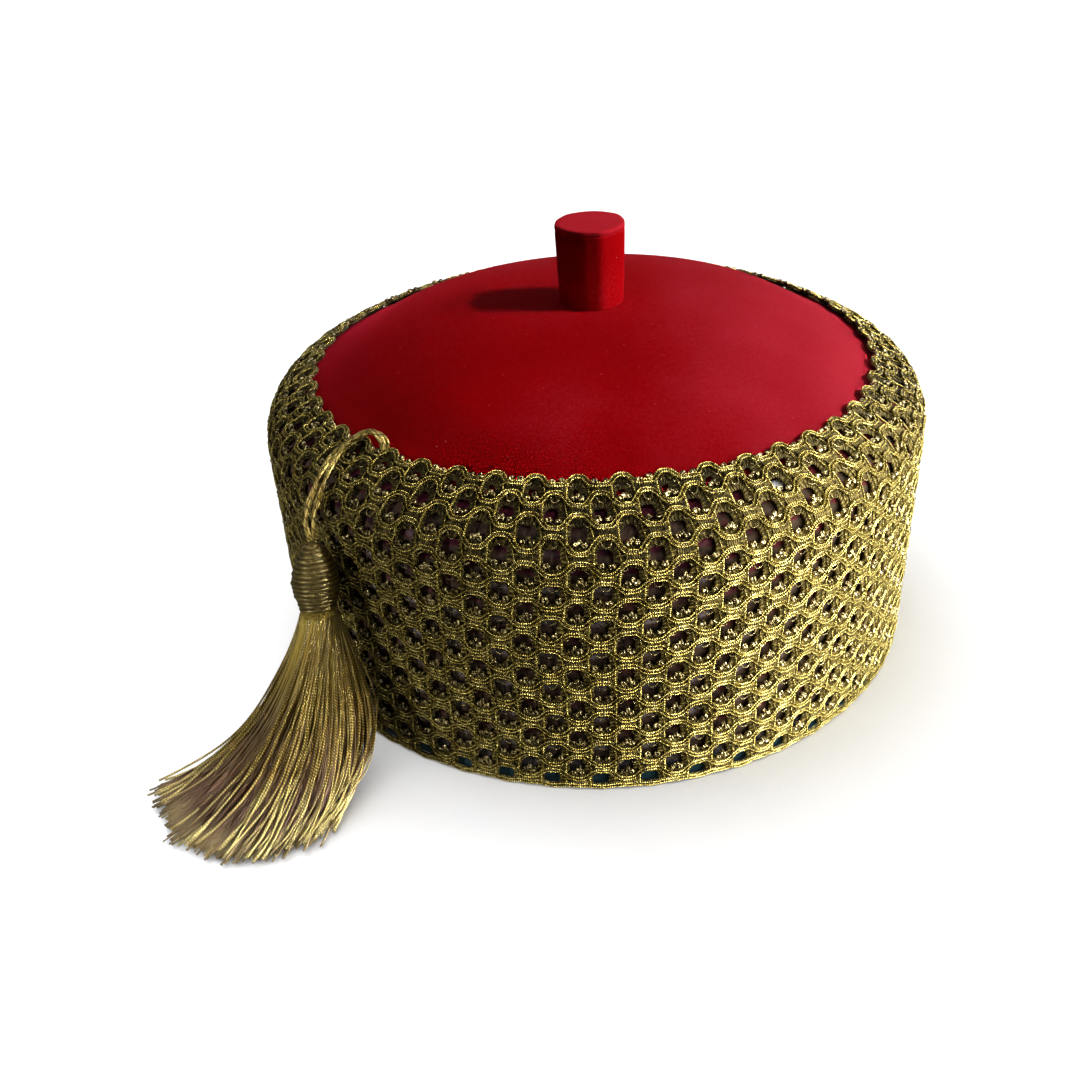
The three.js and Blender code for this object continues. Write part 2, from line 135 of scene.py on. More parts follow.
# Locks of the skirt, the outer ones from left to right: angle and reach of the tip, angle, reach
# and height of the knee, reach and height of the foot
OUTER_LOCKS = np.array([
    [-27, 51, -28, 10, 28, 25, 6],
    [-15, 52.5, -15, 11, 28, 27, 6],
    [-2, 53, -2, 11, 27, 27, 5.5],
    [12, 51, 14, 11, 27, 25, 5],
    [26, 45.5, 35, 12, 26, 20, 4.5],
    [38, 39.5, 65, 13, 25, 16, 3.5],
    [48, 32.5, 105, 15, 22, 16, 2.5],
])
INNER_LOCKS = np.array([
    [-20, 45, -30, 6, 24, 15, 2.5],
    [3, 45, 10, 4, 24, 14, 2.5],
    [25, 38, 50, 5, 22, 12, 2.5],
])


# Mesh patches: points, corner indices, corners in each face, and a length and a turn at each corner
class Patch:
    def __init__(self, points, corners, sizes, uvs):
        self.points = np.asarray(points, float).reshape(-1, 3)
        self.corners = np.asarray(corners, np.int64).ravel()
        self.sizes = np.asarray(sizes, np.int64).ravel()
        self.uvs = np.asarray(uvs, float).reshape(-1, 2)


def joined(patches):
    offsets = np.cumsum([0] + [len(patch.points) for patch in patches[:-1]])
    return Patch(
        np.concatenate([patch.points for patch in patches]),
        np.concatenate([patch.corners + offset for patch, offset in zip(patches, offsets)]),
        np.concatenate([patch.sizes for patch in patches]),
        np.concatenate([patch.uvs for patch in patches]),
    )


def unit(vectors):
    return vectors / np.maximum(np.linalg.norm(vectors, axis=-1, keepdims=True), 1e-9)


def placed(name, data):
    obj = bpy.data.objects.new(name, data)
    bpy.context.scene.collection.objects.link(obj)
    return obj


def piece(name, patches, material, node):
    patch = joined(patches)
    mesh = bpy.data.meshes.new(name)
    mesh.vertices.add(len(patch.points))
    mesh.vertices.foreach_set("co", (patch.points * MM).ravel())
    mesh.loops.add(len(patch.corners))
    mesh.loops.foreach_set("vertex_index", patch.corners)
    mesh.polygons.add(len(patch.sizes))
    mesh.polygons.foreach_set("loop_start", np.cumsum(patch.sizes) - patch.sizes)
    mesh.polygons.foreach_set("use_smooth", np.ones(len(patch.sizes), bool))
    mesh.uv_layers.new(name="run").data.foreach_set("uv", patch.uvs.ravel())
    mesh.update(calc_edges=True)
    mesh.validate()
    mesh.materials.append(material)
    obj = placed(name, mesh)
    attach(obj, BODY)
    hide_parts(node)
    return obj


# The four corners of each square in a grid of values
def square_corners(values):
    low, high = values[..., :-1, :, :], values[..., 1:, :, :]
    corners = [low[..., :-1, :], low[..., 1:, :], high[..., 1:, :], high[..., :-1, :]]
    return np.stack(corners, axis=-2)


# Quads of a grid of points, or of many alike: rows by columns, each closed on itself or not
def grid(points, uvs, close_rows=False, close_columns=False):
    index = np.arange(points.size // 3).reshape(-1, *points.shape[-3:-1])
    index = np.pad(index, ((0, 0), (0, int(close_rows)), (0, int(close_columns))), mode="wrap")
    corners = square_corners(index[..., None])
    corner_uvs = square_corners(uvs[..., : index.shape[1], : index.shape[2], :])
    return Patch(points, corners, np.full(corners.size // 4, 4), corner_uvs)


# Round tubes along many paths at once (tubes by samples by xyz); ups are directions across the paths
def tubes(paths, ups, radius, sides=5, closed=False):
    count, samples = paths.shape[:2]
    radius = np.broadcast_to(radius, (count, samples))
    if closed:
        tangents = unit(np.roll(paths, -1, axis=1) - np.roll(paths, 1, axis=1))
    else:
        tangents = unit(np.gradient(paths, axis=1))
    across = unit(np.cross(ups, tangents))
    up = np.cross(tangents, across)
    turn = 2 * math.pi * np.arange(sides) / sides
    ring = across[:, :, None] * np.cos(turn)[:, None] + up[:, :, None] * np.sin(turn)[:, None]
    points = paths[:, :, None] + ring * radius[:, :, None, None]
    steps = np.linalg.norm(np.roll(paths, -1, axis=1) - paths, axis=2)
    lengths = np.concatenate([np.zeros((count, 1)), np.cumsum(steps, axis=1)], axis=1)
    uvs = np.stack(np.broadcast_arrays(lengths[:, :, None], np.arange(sides + 1) / sides), axis=-1)
    body = grid(points, uvs, close_rows=closed, close_columns=True)
    if closed:
        return body
    index = np.arange(count * samples * sides).reshape(count, samples, sides)
    ends = np.concatenate([index[:, 0, ::-1], index[:, -1]])
    end_uvs = np.zeros((2 * count, sides, 2))
    end_uvs[count:, :, 0] = lengths[:, samples - 1, None]
    return Patch(
        points,
        np.concatenate([body.corners, ends.ravel()]),
        np.concatenate([body.sizes, np.full(2 * count, sides)]),
        np.concatenate([body.uvs, end_uvs.reshape(-1, 2)]),
    )


# Small beads: an egg of given half sizes at each place, its axes along given directions
def beads(places, across, up, out, halves, sides=6, levels=3):
    count = len(places)
    shape = [[0, 0, -1]]
    for level in math.pi * (np.arange(1, levels + 1) / (levels + 1) - 0.5):
        for angle in 2 * math.pi * np.arange(sides) / sides:
            reach = math.cos(level)
            shape.append([reach * math.cos(angle), reach * math.sin(angle), math.sin(level)])
    shape = np.array([*shape, [0, 0, 1]])
    scaled = shape[None] * halves[:, None]
    points = (
        places[:, None]
        + scaled[:, :, 0:1] * across[:, None]
        + scaled[:, :, 1:2] * up[:, None]
        + scaled[:, :, 2:3] * out[:, None]
    )
    faces = []
    last = 1 + (levels - 1) * sides
    for side in range(sides):
        after = (side + 1) % sides
        faces.append([0, 1 + after, 1 + side])
        for low in range(1, last, sides):
            high = low + sides
            faces.append([low + side, low + after, high + after, high + side])
        faces.append([last + side, last + after, len(shape) - 1])
    corners = np.concatenate(faces)
    sizes = np.array([len(face) for face in faces])
    uvs = shape[corners, :2] * 0.5
    all_corners = corners[None] + (np.arange(count) * len(shape))[:, None]
    return Patch(points, all_corners, np.tile(sizes, count), np.tile(uvs, (count, 1)))


def around_axis(radius, angle, height):
    return np.stack([radius * np.sin(angle), -radius * np.cos(angle), height], axis=-1)


# Turned surface through (radius, height) points, closed to a solid where the outline is
def turned(outline, steps=192, closed=False, swell=None):
    outline = np.asarray(outline, float)
    around = 2 * math.pi * np.arange(steps + 1) / steps
    angle = around[:-1]
    radius, height = np.broadcast_to(outline.T[:, :, None], (2, len(outline), steps))
    if swell is not None:
        radius, height = swell(radius, height, angle[None, :])
    points = around_axis(radius, angle, height)
    steps_along = np.linalg.norm(np.diff(outline, axis=0), axis=1)
    length = np.concatenate([[0], np.cumsum(steps_along), [steps_along.sum()]])
    uvs = np.stack(np.broadcast_arrays(length[:, None], around[None, :]), axis=-1)
    return grid(points, uvs, close_rows=closed, close_columns=True)


# The cap's profile and surface
def profile(along, inset):
    along, inset = np.broadcast_arrays(along, inset)
    on_wall = along <= WALL_HEIGHT
    on_shoulder = along <= DOME_START
    shoulder_tilt = np.clip((along - WALL_HEIGHT) / SHOULDER_RADIUS, 0, SHOULDER_TURN)
    from_axis = DOME_SLOPE - (along - DOME_START) / DOME_RADIUS
    shoulder_reach = SHOULDER_RADIUS - inset
    dome_reach = DOME_RADIUS - inset
    shoulder_radius = SHOULDER_CENTRE + shoulder_reach * np.cos(shoulder_tilt)
    shoulder_height = WALL_HEIGHT + shoulder_reach * np.sin(shoulder_tilt)
    radius = np.where(on_shoulder, shoulder_radius, dome_reach * np.sin(from_axis))
    height = np.where(on_shoulder, shoulder_height, DOME_CENTRE + dome_reach * np.cos(from_axis))
    tilt = np.where(on_shoulder, shoulder_tilt, math.pi / 2 - from_axis)
    return np.where(on_wall, OUTSIDE_RADIUS - inset, radius), np.where(on_wall, along, height), tilt


def profile_run(along, inset):
    radius, height, _ = profile(along, inset)
    return np.stack([np.maximum(radius, 0.01), height], axis=-1)


# Points on the cap and the outward directions there
def on_cap(along, inset, angle):
    radius, height, tilt = profile(along, inset)
    return around_axis(radius, angle, height), around_axis(np.cos(tilt), angle, np.sin(tilt))


# Materials
class Tree:
    def __init__(self, name):
        self.material = bpy.data.materials.new(name)
        self.material.use_nodes = True
        self.nodes = self.material.node_tree.nodes
        self.shader = self.nodes["Principled BSDF"]
        self.place = self.coordinates("Object")

    # A socket takes a link from another socket, or else a value of its own
    def put(self, socket, value):
        if isinstance(value, bpy.types.NodeSocket):
            self.material.node_tree.links.new(value, socket)
        else:
            socket.default_value = value

    def add(self, kind, values=(), **settings):
        node = self.nodes.new("ShaderNode" + kind)
        for key, value in settings.items():
            setattr(node, key, value)
        for key, value in dict(values).items():
            self.put(node.inputs[key], value)
        return node

    def coordinates(self, kind, scale=(1, 1, 1)):
        place = self.add("TexCoord").outputs[kind]
        return self.add("Mapping", {"Vector": place, "Scale": scale}).outputs["Vector"]

    def axis(self, name):
        return self.add("SeparateXYZ", {"Vector": self.place}).outputs[name]

    def measure(self, operation, first, second):
        return self.add("VectorMath", {0: first, 1: second}, operation=operation).outputs["Value"]

    # How far a place is to the front right, where light is painted onto the lace: 0 to 1
    def painted_light_front_right(self):
        return self.spread(self.measure("DOT_PRODUCT", self.place, (0.7, -0.7, 0)), 0.075, 0.095)

    def noise(self, scale, detail=3.0, place=None):
        vector = self.place if place is None else place
        values = {"Vector": vector, "Scale": scale, "Detail": detail, "Roughness": 0.55}
        return self.add("TexNoise", values).outputs["Fac"]

    # Ribs along a tube's run, leaning by a number of turns round it
    def ribs(self, pitch, lean):
        run = self.coordinates("UV", (1 / pitch, lean, 1))
        values = {"Vector": run, "Scale": 2 * math.pi / 10}
        return self.add("TexWave", values, bands_direction="DIAGONAL").outputs["Fac"]

    # Level bands, one for each pitch in height
    def levels(self, pitch, phase):
        values = {"Vector": self.place, "Scale": math.pi / (10 * pitch), "Phase Offset": phase}
        return self.add("TexWave", values, bands_direction="Z").outputs["Fac"]

    def ramp(self, factor, stops):
        node = self.add("ValToRGB", {"Fac": factor})
        elements = node.color_ramp.elements
        while len(elements) < len(stops):
            elements.new(0.5)
        for element, (place, colour) in zip(elements, stops):
            element.position = place
            element.color = (*colour, 1)
        return node.outputs["Color"]

    def spread(self, value, low, high, to_low=0.0, to_high=1.0):
        values = {"Value": value, "From Min": low, "From Max": high, "To Min": to_low, "To Max": to_high}
        return self.add("MapRange", values).outputs["Result"]

    def mix(self, factor, first, second):
        return self.add("Mix", {0: factor, 6: first, 7: second}, data_type="RGBA").outputs[2]

    # From the first colour to the second, or most of it, as a value goes from start to end
    def blend(self, value, start, end, first, second, most=1.0):
        return self.mix(self.spread(value, start, end, 0.0, most), first, second)

    def sum(self, first, *others):
        for other in others:
            first = self.add("Math", {0: first, 1: other}, operation="ADD").outputs[0]
        return first

    def bump(self, height, strength, distance):
        values = {"Height": height, "Strength": strength, "Distance": distance}
        self.put(self.shader.inputs["Normal"], self.add("Bump", values).outputs["Normal"])

    def finish(self, **values):
        for key, value in values.items():
            self.put(self.shader.inputs[key.replace("_", " ").title().replace("Ior", "IOR")], value)
        return self.material


VELVET_DARK = (0.13, 0.0, 0.001)
VELVET_MID = (0.3, 0.0, 0.0015)
VELVET_LIGHT = (0.5, 0.022, 0.036)
SHEEN_RED = (1.0, 0.03, 0.07, 1)
LINT = (0.55, 0.1, 0.1, 1)
PAINTED_SHADE_PLACE = (-0.052, -0.038, 0.09)  # metres: middle of a painted shade patch on the crown's left
# Painted white glints for the side's cloth
PALE = (0.72, 0.75, 0.78, 1)
# Painted light for the tassel threads' tops and tips
PAINTED_LIGHT_GOLD = (1.0, 0.83, 0.34, 1)
# Painted shade: near black for the lace's ground in the top rows
PAINTED_SHADE_BLACK = (0.012, 0.008, 0.002, 1)
PAINTED_SHADE_UNDER_LACE = (0.05, 0.002, 0.012, 1)
# Painted light: lighter brown and rose for the side's cloth at the right, where the light falls
PAINTED_LIGHT_BROWN = (0.08, 0.055, 0.03, 1)
PAINTED_LIGHT_ROSE = (0.13, 0.07, 0.058, 1)


# Short pile: soft patches where it is brushed one way or the other, fine fibres and specks of lint, a
# painted shade patch at the left, painted light towards the right, painted sheen on the button's top, and
# painted shade under the lace's edge
def velvet_material():
    tree = Tree("red_velvet")
    brushed = tree.noise(22.0, 2.0)
    fibres = tree.noise(1500.0, 2.0)
    tree.bump(fibres, 0.25, 0.0003)
    # Painted shade: a darker patch on the crown's left, away from the light
    far_off = tree.measure("DISTANCE", tree.place, PAINTED_SHADE_PLACE)
    painted_shade_patch = tree.spread(far_off, 0.008, 0.05, -0.15, 0.0)
    # Painted light: lighter towards the right, which faces the light
    painted_light_to_right = tree.spread(tree.axis("X"), 0.01, 0.085, 0.0, 0.6)
    # Painted sheen: lighter on the button's top
    painted_sheen_top = tree.spread(tree.axis("Z"), 0.123, 0.125, 0.0, 0.3)
    tone = tree.sum(
        tree.spread(brushed, 0.3, 0.7, 0.35, 0.6), tree.spread(fibres, 0.3, 0.7, -0.08, 0.08),
        painted_shade_patch, painted_light_to_right, painted_sheen_top,
    )
    colour = tree.ramp(tone, [(0.0, VELVET_DARK), (0.5, VELVET_MID), (1.0, VELVET_LIGHT)])
    nearest = tree.add("TexVoronoi", {"Vector": tree.place, "Scale": 210.0}).outputs["Distance"]
    colour = tree.blend(nearest, 0.06, 0.03, colour, LINT, 0.6)
    # Painted shade: dark under the lace's edge, where the lace shadows the crown
    reach = tree.measure("DISTANCE", tree.coordinates("Object", (1, 1, 0)), (0, 0, 0))
    colour = tree.blend(reach, 0.0835, 0.086, colour, PAINTED_SHADE_UNDER_LACE, 0.92)
    return tree.finish(
        base_color=colour, roughness=0.9, sheen_weight=0.25, sheen_roughness=0.35, sheen_tint=SHEEN_RED,
        specular_ior_level=0.02,
    )


# The side under the lace: purple at the shoulder and brown below it, with rows of mauve, painted shade at
# the foot of each hole, painted light in lighter red, rose and brown at the right, and painted white
# glints at the top right
def side_material():
    tree = Tree("side_velvet_painted_light_and_shade")
    x = tree.axis("X")
    z = tree.axis("Z")
    dust = tree.noise(420.0, 2.0)
    dark = tree.ramp(dust, [(0.3, (0.018, 0.01, 0.007)), (0.7, (0.1, 0.062, 0.042))])
    brown = tree.ramp(dust, [(0.35, (0.035, 0.014, 0.012)), (0.65, (0.14, 0.055, 0.048))])
    purple = tree.ramp(dust, [(0.35, (0.02, 0.004, 0.01)), (0.65, (0.1, 0.012, 0.026))])
    mauve = tree.ramp(dust, [(0.3, (0.09, 0.074, 0.078)), (0.7, (0.31, 0.26, 0.265))])
    # Painted light: a lighter red for the right, where the light falls
    painted_light_red = tree.ramp(dust, [(0.3, (0.08, 0.012, 0.012)), (0.7, (0.26, 0.035, 0.038))])
    red = tree.blend(z, 0.058, 0.07, brown, purple)
    # Painted light: how far towards the right, where the cloth is painted lighter
    painted_light_at_right = tree.spread(x, 0.02, 0.07)

    patches = tree.spread(tree.noise(115.0, 1.0), 0.35, 0.65, -0.35, 0.35)
    rows = tree.levels(2 * ROW_PITCH * MM, math.pi / 2)
    mauveness = tree.sum(rows, patches, tree.spread(z, 0.055, 0.072, 0.0, -0.8))
    lit = tree.blend(
        mauveness, 0.45, 0.7, tree.mix(painted_light_at_right, red, painted_light_red), tree.mix(painted_light_at_right, mauve, PAINTED_LIGHT_ROSE),
    )
    blotches = tree.spread(tree.noise(260.0, 2.0), 0.3, 0.7, -0.45, 0.45)
    # Painted shade: dark at the foot of each hole, lighter towards the hole tops and the shoulder
    hole_tops = tree.levels(ROW_PITCH * MM, -1.2)
    painted_light_and_shade = tree.sum(hole_tops, blotches, tree.spread(z, 0.068, 0.076, 0.0, 0.25))
    colour = tree.blend(painted_light_and_shade, 0.4, 0.9, tree.mix(painted_light_at_right, dark, PAINTED_LIGHT_BROWN), lit)
    # Painted glints: pale white spots at the top right
    painted_glints = tree.sum(
        tree.noise(140.0, 0.0),
        tree.spread(x, 0.02, 0.06, -0.2, 0.0),
        tree.spread(x, 0.06, 0.075, 0.0, -0.3),
        tree.spread(z, 0.055, 0.075, -0.2, 0.0),
    )
    colour = tree.blend(painted_glints, 0.62, 0.66, colour, PALE)
    return tree.finish(base_color=colour, roughness=0.85, specular_ior_level=0.1)


# Tape round the rim: teal at its foot, dusty higher up
def binding_material():
    tree = Tree("teal_tape")
    weave = tree.ribs(0.5, 160)
    grain = tree.noise(300.0)
    tree.bump(weave, 0.3, 0.0002)
    teal = tree.ramp(grain, [(0.3, (0.01, 0.036, 0.048)), (0.7, (0.028, 0.09, 0.11))])
    dusty = tree.ramp(grain, [(0.3, (0.02, 0.016, 0.016)), (0.7, (0.09, 0.068, 0.062))])
    colour = tree.blend(tree.axis("Z"), 0.0045, 0.0065, teal, dusty)
    return tree.finish(base_color=colour, roughness=0.7, specular_ior_level=0.3)


# Wound metallic thread: ribs, turned this way and that so that some of them glint, with painted shade in
# the ribs' grooves, painted light on their crests, painted glints, and painted light at the front right.
# Ribbing is the ribs' share in the colour.
def gold_material(name, stops, pitch, lean, ribbing, metallic, roughness, depth):
    tree = Tree(name)
    ribs = tree.ribs(pitch, lean)
    glints = tree.noise(1100.0, 1.0)
    uneven = tree.noise(170.0, 2.0)
    tree.bump(tree.sum(ribs, tree.spread(glints, 0.3, 0.7, -0.8, 0.8)), 1.0, depth)
    # Painted shade in the ribs' grooves, painted light on their crests, painted glints, and painted light
    # at the front right
    tone = tree.sum(
        tree.spread(ribs, 0.0, 1.0, 0.0, ribbing),
        tree.spread(glints, 0.35, 0.65, -0.1, 0.75 - ribbing),
        tree.spread(uneven, 0.3, 0.7, 0.0, 0.25),
        tree.spread(tree.painted_light_front_right(), 0.0, 1.0, 0.0, 0.15 + 0.3 * ribbing),
    )
    colour = tree.ramp(tone, stops)
    return tree.finish(base_color=colour, roughness=roughness, metallic=metallic)


# Smooth wound cord, with fine streaks along it and dark lines across it
def satin_material(name, dark, bright, metallic, joint_depth):
    tree = Tree(name)
    streaks = tree.noise(2.5, 2.0, tree.coordinates("UV", (0.15, 4.0, 1.0)))
    joints = tree.spread(tree.ribs(2.7, 1), 0.0, 0.1, -joint_depth, 0.0)
    tone = tree.sum(streaks, joints)
    tree.bump(tone, 0.8, 0.00015)
    colour = tree.ramp(tone, [(0.25, dark), (0.68, bright)])
    return tree.finish(base_color=colour, roughness=0.32, metallic=metallic)


# Tassel strands: a fine twist in smooth gold, with painted light at the top and towards the tips
def strand_material():
    tree = Tree("tassel_gold")
    streaks = tree.noise(2.5, 2.0, tree.coordinates("UV", (0.2, 4.0, 1.0)))
    twist = tree.ribs(0.8, 1)
    tree.bump(tree.sum(twist, streaks), 0.8, 0.0001)
    tone = tree.sum(streaks, tree.spread(twist, 0.0, 1.0, -0.22, 0.22))
    colour = tree.ramp(tone, [
        (0.2, (0.15, 0.086, 0.01)), (0.5, (0.42, 0.275, 0.047)), (0.8, (0.9, 0.67, 0.19)),
    ])
    height = tree.axis("Z")
    # Painted light at the top and on the tips
    colour = tree.blend(height, 0.026, 0.044, colour, PAINTED_LIGHT_GOLD, 0.35)
    colour = tree.blend(height, 0.012, 0.001, colour, PAINTED_LIGHT_GOLD)
    return tree.finish(base_color=colour, roughness=0.3, metallic=0.3)


# Smooth tassel thread: golden higher up and brown lower down, with painted light at the top and on the
# floor
def brown_material():
    tree = Tree("tassel_brown")
    height = tree.axis("Z")
    patches = tree.noise(130.0, 2.0)
    brown = tree.ramp(patches, [(0.3, (0.14, 0.07, 0.04)), (0.7, (0.28, 0.16, 0.1))])
    golden = tree.ramp(patches, [(0.3, (0.23, 0.145, 0.024)), (0.7, (0.47, 0.32, 0.065))])
    bright = tree.ramp(patches, [(0.3, (0.9, 0.62, 0.1)), (0.7, (1.0, 0.8, 0.19))])
    colour = tree.blend(height, 0.006, 0.03, brown, golden)
    # Painted light at the top, and paler painted light on the tips on the floor
    colour = tree.blend(height, 0.022, 0.04, colour, bright)
    colour = tree.blend(height, 0.004, 0.001, colour, PAINTED_LIGHT_GOLD, 0.4)
    return tree.finish(base_color=colour, roughness=0.42, metallic=0.15, specular_ior_level=0.5)


# Dark threads of the lace's ground, behind its bands: painted shade, near black, in the top rows, and
# painted light, olive, at the front right
def ground_material():
    tree = Tree("lace_ground")
    grain = tree.noise(900.0, 2.0)
    ribs = tree.ribs(RIB_PITCH, 0.3)
    twists = tree.sum(tree.spread(grain, 0.3, 0.7, 0.0, 0.6), tree.spread(ribs, 0.0, 1.0, 0.0, 0.4))
    tree.bump(twists, 1.0, 0.0006)
    colour = tree.ramp(twists, [
        (0.3, (0.03, 0.021, 0.005)), (0.6, (0.11, 0.08, 0.018)), (0.85, (0.5, 0.38, 0.1)),
    ])
    # Painted shade: near black in the top rows
    colour = tree.blend(tree.axis("Z"), 0.068, 0.08, colour, PAINTED_SHADE_BLACK, 0.75)
    # Painted light: olive at the front right
    painted_light_olive = tree.ramp(twists, [(0.35, (0.15, 0.11, 0.028)), (0.85, (0.55, 0.42, 0.12))])
    colour = tree.blend(tree.painted_light_front_right(), 0.0, 1.0, colour, painted_light_olive, 0.8)
    return tree.finish(base_color=colour, roughness=0.7, specular_ior_level=0.1)


velvet = velvet_material()
side_velvet = side_material()
binding = binding_material()
lace_edge_gold = gold_material(
    "lace_gold", [(0.1, (0.14, 0.092, 0.012)), (0.45, (0.56, 0.41, 0.07)), (0.8, (1.0, 0.85, 0.27))],
    RIB_PITCH, 0.5, 0.3, 0.75, 0.25, 0.0003,
)
lace_ribbed = gold_material(
    "lace_ribbed", [(0.2, (0.02, 0.014, 0.003)), (0.55, (0.13, 0.094, 0.019)), (0.95, (0.85, 0.67, 0.18))],
    RIB_PITCH, 0.0, 0.55, 0.5, 0.32, 0.0004,
)
lace_knotted = gold_material(
    "lace_knots", [(0.2, (0.02, 0.014, 0.005)), (0.5, (0.26, 0.19, 0.06)), (0.8, (0.95, 0.78, 0.36))],
    0.5, 0.5, 0.3, 0.7, 0.2, 0.0004,
)
lace_dark = ground_material()
thread_gold = strand_material()
thread_brown = brown_material()
cord_gold = satin_material("cord_gold", (0.12, 0.075, 0.011), (0.96, 0.73, 0.2), 0.5, 0.6)
head_gold = satin_material("head_gold", (0.06, 0.04, 0.011), (0.46, 0.35, 0.105), 0.5, 0.08)


# Camera
camera_data = bpy.data.cameras.new("camera")
camera_data.lens = CAMERA_LENS
camera_data.sensor_width = CAMERA_SENSOR
camera = placed("camera", camera_data)
camera.location = CAMERA_PLACE
camera.rotation_mode = "QUATERNION"
level = (CAMERA_AIM - CAMERA_PLACE).to_track_quat("-Z", "Y")
camera.rotation_quaternion = level @ Quaternion((0, 0, 1), CAMERA_ROLL)
bpy.context.scene.camera = camera


# A smooth path through points, sampled evenly
def smooth_path(points, samples):
    points = np.asarray(points, float)
    before = np.concatenate([[2 * points[0] - points[1]], points, [2 * points[-1] - points[-2]]])
    pieces = []
    share = np.linspace(0, 1, 24, endpoint=False)[:, None]
    for a, b, c, d in zip(before, before[1:], before[2:], before[3:]):
        bend = (2 * a - 5 * b + 4 * c - d) * share**2
        twist = (3 * b - a - 3 * c + d) * share**3
        pieces.append(0.5 * (2 * b + (c - a) * share + bend + twist))
    dense = np.concatenate(pieces + [points[-1:]])
    run = np.concatenate([[0], np.cumsum(np.linalg.norm(np.diff(dense, axis=0), axis=1))])
    even = np.linspace(0, run[-1], samples)
    return np.stack([np.interp(even, run, dense[:, axis]) for axis in range(3)], axis=-1)


# Tassel cord: two strands, each of two plies with a long twist, one over the other at the top and
# side by side lower down, where they face the front
def cord_patches():
    samples = 200
    ply_radius = 0.46
    ply_spread = 0.38
    twist_pitch = 22
    centre = smooth_path(CORD_ROUTE, samples)
    share = np.linspace(0, 1, samples)
    angle = np.arctan2(centre[:, 0], -centre[:, 1]) * np.interp(share, [0.25, 0.55], [1, -0.4])
    outward = around_axis(1, angle, np.full(samples, 0.6))
    tangent = unit(np.gradient(centre, axis=0))
    across = unit(np.cross(outward, tangent))
    out = np.cross(tangent, across)
    beside = np.interp(share, [0, 0.3, 0.5, 0.7, 0.9, 1], [0.1, 0.25, 0.7, 1.0, 1.05, 0.7])
    above = np.interp(share, [0, 0.3, 0.5, 0.7, 1], [0.65, 0.6, 0.3, 0, 0])
    length = np.linspace(0, np.linalg.norm(np.diff(centre, axis=0), axis=1).sum(), samples)
    paths = []
    for sign in (-1, 1):
        strand = centre + sign * (beside[:, None] * across + above[:, None] * out)
        for ply in (0, math.pi):
            turn = 2 * math.pi * length / twist_pitch + ply
            around = np.cos(turn)[:, None] * across + np.sin(turn)[:, None] * out
            paths.append(strand + ply_spread * around)
    return [tubes(np.array(paths), out, ply_radius, sides=7)]


# Tassel head: cord wound round an egg-shaped core
def head_patches():
    wound_radius = 0.62
    samples = HEAD_TURNS * 32
    axis = unit(HEAD_TOP - HEAD_FOOT)
    first = unit(np.cross(axis, [1.0, 0, 0]))
    second = np.cross(axis, first)
    length = np.linalg.norm(HEAD_TOP - HEAD_FOOT)
    share = np.linspace(0.02, 0.985, samples)
    turn = 2 * math.pi * HEAD_TURNS * share
    radius = np.interp(share, HEAD_SHARES, HEAD_RADII) - wound_radius
    out = np.cos(turn)[:, None] * first + np.sin(turn)[:, None] * second
    wobble = 0.06 * np.sin(turn * 0.37) + 0.05 * np.sin(turn * 1.61)
    path = HEAD_FOOT + axis * (share * length)[:, None] + out * (radius + wobble)[:, None]
    winding = tubes(path[None], out[None], wound_radius, sides=8)

    core_share = np.linspace(0, 1, 40)
    core_radius = np.interp(core_share, HEAD_SHARES, HEAD_RADII) - 0.75
    core = tubes(
        (HEAD_FOOT + axis * (core_share * length)[:, None])[None], first, core_radius[None], sides=32,
    )
    return [winding, core]


# Tassel skirt, in its own frame: X away from the cap, heights from the floor
def polar(angle, reach, height):
    angle = np.radians(angle)
    height = np.broadcast_to(height, np.shape(angle))
    return np.stack([reach * np.cos(angle), reach * np.sin(angle), height], axis=-1)


def skirt_to_cap(points):
    cos, sin = math.cos(SKIRT_TURN), math.sin(SKIRT_TURN)
    turn = np.array([[cos, sin, 0], [-sin, cos, 0], [0, 0, 1]])
    return points @ turn + HEAD_FOOT * (1, 1, 0)


NECK_TURN = [-50, 160]  # the part of the neck's ring that the fan starts from, in degrees
NECK_HEIGHT = 47.6
THREAD_STEPS = 22


